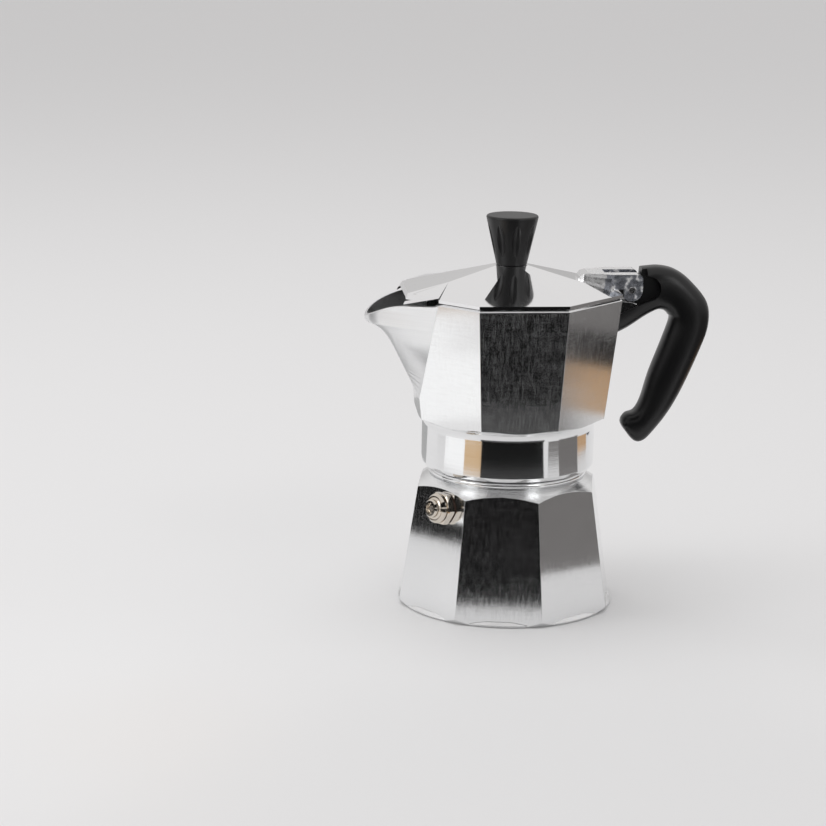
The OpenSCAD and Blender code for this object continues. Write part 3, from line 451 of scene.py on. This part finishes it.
knob_plastic = moulded("black knob plastic", (0.006, 0.006, 0.0065), 0.38)
handle_plastic = moulded("black handle plastic", (0.004, 0.004, 0.0045), 0.30, index=1.48)
seal_rubber = moulded("off-white seal rubber", (0.78, 0.74, 0.66), 0.55, 1500.0)
washer_fibre = moulded("red-brown washer", (0.10, 0.05, 0.035), 0.7, 2000.0)
print("plastics made")

# %% [markdown]
# ## Dressing the solids
# A solid whose shape is right keeps its mesh and only takes a material. A table of
# node to finish says it all in one place.

# %% Assign the finishes
FINISHES = {
    "boiler": boiler_metal, "collector": jug_metal, "lid": mirror_aluminium, "column_cap": satin_aluminium,
    "funnel": satin_aluminium, "funnel_screen": satin_aluminium, "filter_plate": satin_aluminium,
    "valve_body": worn_nickel, "valve_cap": worn_nickel, "valve_plunger": dull_nickel,
    "valve_spring": plated_steel, "valve_washer": washer_fibre, "gasket": seal_rubber,
    "knob": knob_plastic, "handle": handle_plastic, "knob_insert": bare_brass,
    "knob_screw": plated_steel, "knob_washer": plated_steel, "hinge_pin": plated_steel,
}


def dress(thing, material):
    """Gives an object one material."""
    thing.data.materials.clear()
    thing.data.materials.append(material)


for node_name, finish in FINISHES.items():
    dress(nodes[node_name], finish)
print(len(FINISHES), "solids dressed")

# %% [markdown]
# ## Smooth skins for the lofted shapes
# The handle and the spout come as flat triangles, which would catch the light one
# by one on a polished surface. A copy of each keeps the same points and gets
# averaged normals: corners that share a point and face nearly the same way share
# one direction. Where two faces meet at more than a set angle the edge stays
# crisp. Moving points or subdividing would round the edges too, so this is safer.
# The spout's triangles are long and thin, so there each corner also takes in the
# faces a few millimetres round it. Some fine level lines still show on it.

# %% Average the normals
SAME_POINT = 1e-6


def read(items, attribute, width=1, kind=float):
    """One attribute of every item of a mesh, as an array with width numbers to a row."""
    values = np.empty(len(items) * width, kind)
    items.foreach_get(attribute, values)
    return values if width == 1 else values.reshape(-1, width)


def share_normals(points, normals, weights, picked, limit_cos):
    """All the normals, with the picked corners averaged where they share a point and face alike."""
    shared = {}
    for corner in picked:
        key = tuple(np.round(points[corner] / SAME_POINT).astype(int))
        shared.setdefault(key, []).append(corner)
    smooth = normals.copy()
    for group in shared.values():
        alike = normals[group] @ normals[group].T > limit_cos
        mean = (alike * weights[group][None, :]) @ normals[group]
        smooth[group] = mean / np.linalg.norm(mean, axis=1, keepdims=True)
    return smooth


def blur_normals(smooth, points, picked, faces, reach, limit_cos):
    """Turns each picked corner to the mean of the faces that lie about reach metres near it."""
    for corner in picked:
        gap = np.linalg.norm(faces.centre - points[corner], axis=1)
        alike = faces.facing @ smooth[corner] > limit_cos
        mean = (faces.area * np.exp(-(gap / reach) ** 2) * alike) @ faces.facing
        if np.linalg.norm(mean) > 0:
            smooth[corner] = mean / np.linalg.norm(mean)


print("normal helpers ready")

# %% Copy a solid with smoothed normals
def smooth_skin(node_name, piece_name, limit, chosen=None, blur=0.0):
    """A copy of a solid, its normals averaged below limit degrees on the chosen faces."""
    mesh = nodes[node_name].data.copy()
    mesh.name = piece_name
    points = read(mesh.vertices, "co", 3)[read(mesh.loops, "vertex_index", kind=int)]
    normals = read(mesh.corner_normals, "vector", 3)
    centre, area = read(mesh.polygons, "center", 3), read(mesh.polygons, "area")
    pick = np.ones(len(area), bool) if chosen is None else chosen(centre)
    face_of = np.repeat(np.arange(len(area)), 3)
    picked = np.nonzero(pick[face_of])[0]
    limit_cos = math.cos(math.radians(limit))
    smooth = share_normals(points, normals, area[face_of], picked, limit_cos)
    if blur:
        real = pick & (area > 0)
        facing = read(mesh.polygons, "normal", 3)
        faces = SimpleNamespace(centre=centre[real], facing=facing[real], area=area[real])
        blur_normals(smooth, points, picked, faces, blur, limit_cos)
    mesh.polygons.foreach_set("use_smooth", np.ones(len(area), bool))
    mesh.normals_split_custom_set(smooth.tolist())
    piece = bpy.data.objects.new(piece_name, mesh)
    bpy.context.scene.collection.objects.link(piece)
    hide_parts(node_name)
    return piece


def on_spout(middles):
    """The faces beyond the plane that the spout springs from."""
    plane_x = SPOUT_FOOT_X + SPOUT_SLOPE * (middles[:, 2] - SPOUT_FOOT)
    return (middles[:, 0] < plane_x + 0.0001) & (middles[:, 2] > SPOUT_FOOT - 0.001)


SPOUT_BLUR = 5.0 * MM
SPOUT_LIMIT, HANDLE_LIMIT = 24, 32
jug = smooth_skin("collector", "jug_casting", SPOUT_LIMIT, on_spout, SPOUT_BLUR)
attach(jug, "collector")
dress(jug, jug_metal)
handle = smooth_skin("handle", "handle_moulding", HANDLE_LIMIT)
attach(handle, "collector")
dress(handle, handle_plastic)
print("smoothed", len(jug.data.polygons), "and", len(handle.data.polygons), "faces")

# %% [markdown]
# ## Threads and spring, with Geometry Nodes
# A screw thread and a coil spring are both a small shape swept along a helix, so
# one tree makes them all. It takes a radius, a pitch, a number of turns and the
# section's size, sweeps the section with Curve to Mesh, realizes the result and
# sets its material. The modifier's result is then turned into a plain mesh.

# %% The helix tree
HELIX_INPUTS = {
    "Radius": "Float", "Pitch": "Float", "Turns": "Float", "Start Height": "Float",
    "Section Width": "Float", "Section Height": "Float", "Steps": "Int", "Material": "Material",
}


def helix_tree(name, sides):
    """A geometry node tree that sweeps a section with so many sides along a helix."""
    tree = bpy.data.node_groups.new(name, "GeometryNodeTree")
    for socket, kind in HELIX_INPUTS.items():
        tree.interface.new_socket(socket, in_out="INPUT", socket_type="NodeSocket" + kind)
    tree.interface.new_socket("Geometry", in_out="OUTPUT", socket_type="NodeSocketGeometry")
    given = tree.nodes.new("NodeGroupInput").outputs
    height = add_node(tree, "ShaderNodeMath", {0: given["Pitch"], 1: given["Turns"]}, operation="MULTIPLY")
    helix = add_node(tree, "GeometryNodeCurveSpiral", {
        "Resolution": given["Steps"], "Rotations": given["Turns"], "Start Radius": given["Radius"],
        "End Radius": given["Radius"], "Height": height.outputs[0]})
    upright = add_node(tree, "GeometryNodeSetCurveNormal", {"Curve": helix.outputs["Curve"]}, mode="Z_UP")
    section = add_node(tree, "GeometryNodeCurvePrimitiveCircle", {"Resolution": sides, "Radius": 0.5})
    size = add_node(tree, "ShaderNodeCombineXYZ", {
        "X": given["Section Width"], "Y": given["Section Height"], "Z": 1.0})
    sized = add_node(tree, "GeometryNodeTransform", {
        "Geometry": section.outputs["Curve"], "Scale": size.outputs[0]})
    swept = add_node(tree, "GeometryNodeCurveToMesh", {
        "Curve": upright.outputs[0], "Profile Curve": sized.outputs["Geometry"], "Fill Caps": True})
    lift = add_node(tree, "ShaderNodeCombineXYZ", {"Z": given["Start Height"]})
    placed = add_node(tree, "GeometryNodeTransform", {
        "Geometry": swept.outputs["Mesh"], "Translation": lift.outputs[0]})
    real = add_node(tree, "GeometryNodeRealizeInstances", {"Geometry": placed.outputs["Geometry"]})
    done = add_node(tree, "GeometryNodeSetMaterial", {
        "Geometry": real.outputs[0], "Material": given["Material"]})
    out = tree.nodes.new("NodeGroupOutput")
    tree.links.new(done.outputs[0], out.inputs["Geometry"])
    return tree


def grow(name, tree, values, place=None):
    """Runs a tree on an empty mesh and keeps the result as a plain mesh piece."""
    seed = bpy.data.objects.new(name + "_seed", bpy.data.meshes.new(name + "_seed"))
    bpy.context.scene.collection.objects.link(seed)
    modifier = seed.modifiers.new("grow", "NODES")
    modifier.node_group = tree
    for item in tree.interface.items_tree:
        if item.in_out == "INPUT" and item.name in values:
            modifier[item.identifier] = values[item.name]
    bpy.context.view_layer.update()
    ready = seed.evaluated_get(bpy.context.evaluated_depsgraph_get())
    mesh = bpy.data.meshes.new_from_object(ready)
    mesh.name = name
    bpy.data.objects.remove(seed)
    if place is not None:
        mesh.transform(place)
    mesh.shade_smooth()
    piece = bpy.data.objects.new(name, mesh)
    bpy.context.scene.collection.objects.link(piece)
    print(name, len(mesh.polygons), "faces")
    return piece


ridge_tree = helix_tree("thread ridge", 6)
wire_tree = helix_tree("round wire", 12)

# %% [markdown]
# The neck's thread stands out from its core and the collar's stands in from its
# bore, half a pitch apart, so the two lie in each other's grooves as real ones do.

# %% Make the two threads
PITCH = 3.0 * MM
THREAD_START = 58.6 * MM
RIDGE = {"Pitch": PITCH, "Turns": 2.6, "Section Width": 1.1 * MM, "Section Height": 1.5 * MM, "Steps": 72}
neck_thread = grow("neck_thread", ridge_tree, {
    **RIDGE, "Radius": 30.85 * MM, "Start Height": THREAD_START, "Material": boiler_metal})
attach(neck_thread, "boiler")
collar_thread = grow("collar_thread", ridge_tree, {
    **RIDGE, "Radius": 31.85 * MM, "Start Height": THREAD_START + PITCH / 2, "Material": jug_metal})
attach(collar_thread, "collector")

# %% [markdown]
# The valve's spring lies along the valve's own axis, so its helix is made upright
# and then turned. The axis comes from the joint that the plunger slides on. The
# wire keeps its length when the plunger lifts, where a real spring would shorten,
# so at full lift the two overlap. They are shut in the valve, where it isn't seen.

# %% Make the spring
SPRING_LENGTH, SPRING_RADIUS, WIRE = 7.6 * MM, 2.175 * MM, 0.6 * MM
SPRING_TURNS = 7
slide = next(joint for joint in frame["joints"] if joint["name"] == "plunger_travel")
valve_axis = Vector(slide["axis"]).normalized()
spring_low, spring_high = [Vector(corner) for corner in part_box("valve_spring")]
to_axis = valve_axis.to_track_quat("Z", "Y").to_matrix().to_4x4()
to_middle = Matrix.Translation((spring_low + spring_high) / 2) @ to_axis
to_end = to_middle @ Matrix.Translation((0, 0, -SPRING_LENGTH / 2))
spring = grow("valve_spring_wire", wire_tree, {
    "Radius": SPRING_RADIUS, "Pitch": SPRING_LENGTH / SPRING_TURNS, "Turns": float(SPRING_TURNS),
    "Start Height": 0.0, "Section Width": WIRE, "Section Height": WIRE, "Steps": 28,
    "Material": plated_steel}, to_end)
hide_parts("valve_spring")
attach(spring, "boiler")

# %% [markdown]
# ## Floor
# A pale sheet that runs far behind the pot, so the camera sees no horizon. From a
# lower viewpoint its far edge does show. It is matt with a trace of grain, and it
# fades a little with distance because the lights do. It lies a hair below zero,
# so that it doesn't share a plane with the pot's foot.

# %% Lay the floor
FLOOR_RADIUS = 9.0
FLOOR_DROP = 0.05 * MM
floor_mesh = bpy.data.meshes.new("floor")
maker = bmesh.new()
bmesh.ops.create_circle(maker, cap_ends=True, radius=FLOOR_RADIUS, segments=64)
maker.to_mesh(floor_mesh)
maker.free()
floor = bpy.data.objects.new("floor", floor_mesh)
floor.location.z = -FLOOR_DROP
bpy.context.scene.collection.objects.link(floor)
floor_paper, tree, shader = start_material("pale paper", (0.76, 0.76, 0.765), 0.62)
tree.links.new(bump(tree, noise(tree, 500.0, 3.0), 0.15, 0.0001), shader.inputs["Normal"])
dress(floor, floor_paper)
print("floor laid")

# %% [markdown]
# ## What the metal sees
# Polished metal has no colour of its own: it shows the room. A product
# photographer stands cards round the object and out of shot, white ones for bright
# faces, black ones for crisp dark faces and tan ones for a touch of warmth. These
# cards do the same. Some lie level near the pot and some stand further off, and
# the two brightest stand for lamps. Cameras and plain light don't meet them: only
# reflections do, so they shape the metal and leave the floor alone.

# %% Reflector cards
def card_material(name, colour, strength):
    """A card that gives off its own even tone."""
    material = bpy.data.materials.new(name)
    material.use_nodes = True
    tree = material.node_tree
    tree.nodes.clear()
    glow = add_node(tree, "ShaderNodeEmission", {"Color": (*colour, 1), "Strength": strength})
    out = tree.nodes.new("ShaderNodeOutputMaterial")
    tree.links.new(glow.outputs[0], out.inputs["Surface"])
    return material


def only_reflected(card):
    """Hides a card from everything but reflections."""
    card.visible_camera = False
    card.visible_diffuse = False
    card.visible_transmission = False
    card.visible_volume_scatter = False
    card.visible_shadow = False


ARC_STEP = 4


def arc_card(name, material, start, end, edges):
    """A card bent round the pot between two bearings in degrees, its edges given as (radius, height)."""
    steps = max(2, int(abs(end - start) / ARC_STEP))
    bearings = [math.radians(start + (end - start) * i / steps) for i in range(steps + 1)]
    points = [(r * math.cos(b), r * math.sin(b), z) for b in bearings for r, z in edges]
    faces = [(2 * i, 2 * i + 1, 2 * i + 3, 2 * i + 2) for i in range(steps)]
    mesh = bpy.data.meshes.new(name)
    mesh.from_pydata(points, [], faces)
    card = bpy.data.objects.new(name, mesh)
    bpy.context.scene.collection.objects.link(card)
    dress(card, material)
    only_reflected(card)


def flat_card(name, material, inner, outer, start, end, height):
    """A level card between two radii."""
    arc_card(name, material, start, end, ((inner, height), (outer, height)))


def wall_card(name, material, radius, start, end, low, high):
    """An upright card between two heights."""
    arc_card(name, material, start, end, ((radius, low), (radius, high)))


print("card helpers ready")

# %% [markdown]
# A card's strength is about how bright the metal looks there, where 1 is white. The
# level ones give the flats their bands: where a card's near edge lies sets how high
# up the flat its band ends. Distances here are in metres.

# %% Place the cards
black_card = card_material("black card", (1, 1, 1), 0.006)
dusk_card = card_material("dusk card", (1, 1, 1), 0.055)
grey_card = card_material("grey card", (1.0, 0.95, 0.93), 0.17)
tan_card = card_material("tan card", (1.0, 0.64, 0.36), 0.50)
amber_card = card_material("amber card", (1.0, 0.68, 0.38), 0.64)
white_card = card_material("white card", (1, 1, 1), 1.02)
pale_card = card_material("pale card", (1, 1, 1), 0.42)
lamp_card = card_material("lamp card", (1, 1, 1), 2.2)

LEVEL, HIGH_LEVEL = 0.030, 0.062
flat_card("front_dusk", dusk_card, 0.110, 0.163, -129, -53, LEVEL)
flat_card("front_black", black_card, 0.163, 0.360, -129, -53, LEVEL)
flat_card("left_tan", amber_card, 0.150, 0.230, -151, -129, LEVEL)
flat_card("left_white", white_card, 0.090, 0.205, -184, -166, HIGH_LEVEL)
flat_card("collar_white", white_card, 0.150, 0.230, -181, -151, LEVEL)
flat_card("collar_shade", pale_card, 0.130, 0.230, 100, 136, LEVEL)
flat_card("left_patch", tan_card, 0.287, 0.360, -172, -166, LEVEL)
flat_card("right_dim", grey_card, 0.130, 0.230, -32, 0, LEVEL)
flat_card("right_tan", tan_card, 0.172, 0.238, 1, 22, LEVEL)
flat_card("right_dark", black_card, 0.238, 0.480, 1, 34, LEVEL)
wall_card("front_wall", black_card, 0.440, -138, -60, 0.0, 0.12)
wall_card("left_wall", black_card, 0.380, 160, 182, 0.0, 0.12)
wall_card("right_wall", grey_card, 0.290, -45, 25, 0.0, 0.11)
wall_card("front_high", black_card, 0.900, -128, -68, 0.36, 1.15)
wall_card("lamp_left", lamp_card, 0.900, -168, -146, 0.28, 0.80)
wall_card("lamp_right", lamp_card, 0.900, -64, -48, 0.28, 0.80)
print("cards placed")

# %% [markdown]
# ## Studio light
# One very large soft light overhead and a smaller one on the left give the pale
# floor and the faint contact shadow. Neither shows in the metal, because the cards
# decide what it reflects. The room itself glows too, more above than at the sides.

# %% Lights
POT_MIDDLE = (0, 0, 0.08)


def soft_box(name, place, width, height, power):
    """A rectangular light turned towards the pot, which reflections don't see."""
    data = bpy.data.lights.new(name, "AREA")
    data.shape = "RECTANGLE"
    data.size, data.size_y = width, height
    data.energy = power
    lamp = bpy.data.objects.new(name, data)
    lamp.location = place
    lamp.rotation_euler = (Vector(POT_MIDDLE) - Vector(place)).to_track_quat("-Z", "Y").to_euler()
    lamp.visible_glossy = False
    bpy.context.scene.collection.objects.link(lamp)


soft_box("overhead", (-0.3, 0.1, 1.5), 1.4, 1.4, 8)
soft_box("left_box", (-1.3, -0.3, 0.9), 0.5, 0.9, 2)
print("soft boxes placed")

# %% The room
GLOW_AT_SIDES, GLOW_ABOVE = 0.48, 0.76
ROOM_COLOUR = (1.0, 0.985, 0.98)
world = bpy.data.worlds.new("room")
bpy.context.scene.world = world
world.use_nodes = True
tree = world.node_tree
direction = add_node(tree, "ShaderNodeTexCoord").outputs["Generated"]
rise = add_node(tree, "ShaderNodeSeparateXYZ", {"Vector": direction}).outputs["Z"]
glow = mix_value(tree, step_up(tree, rise, 0.10, 0.40), GLOW_AT_SIDES, GLOW_ABOVE)
tree.links.new(glow, tree.nodes["Background"].inputs["Strength"])
tree.nodes["Background"].inputs["Color"].default_value = (*ROOM_COLOUR, 1)
bpy.context.scene.view_settings.view_transform = "Standard"
print("room lit")
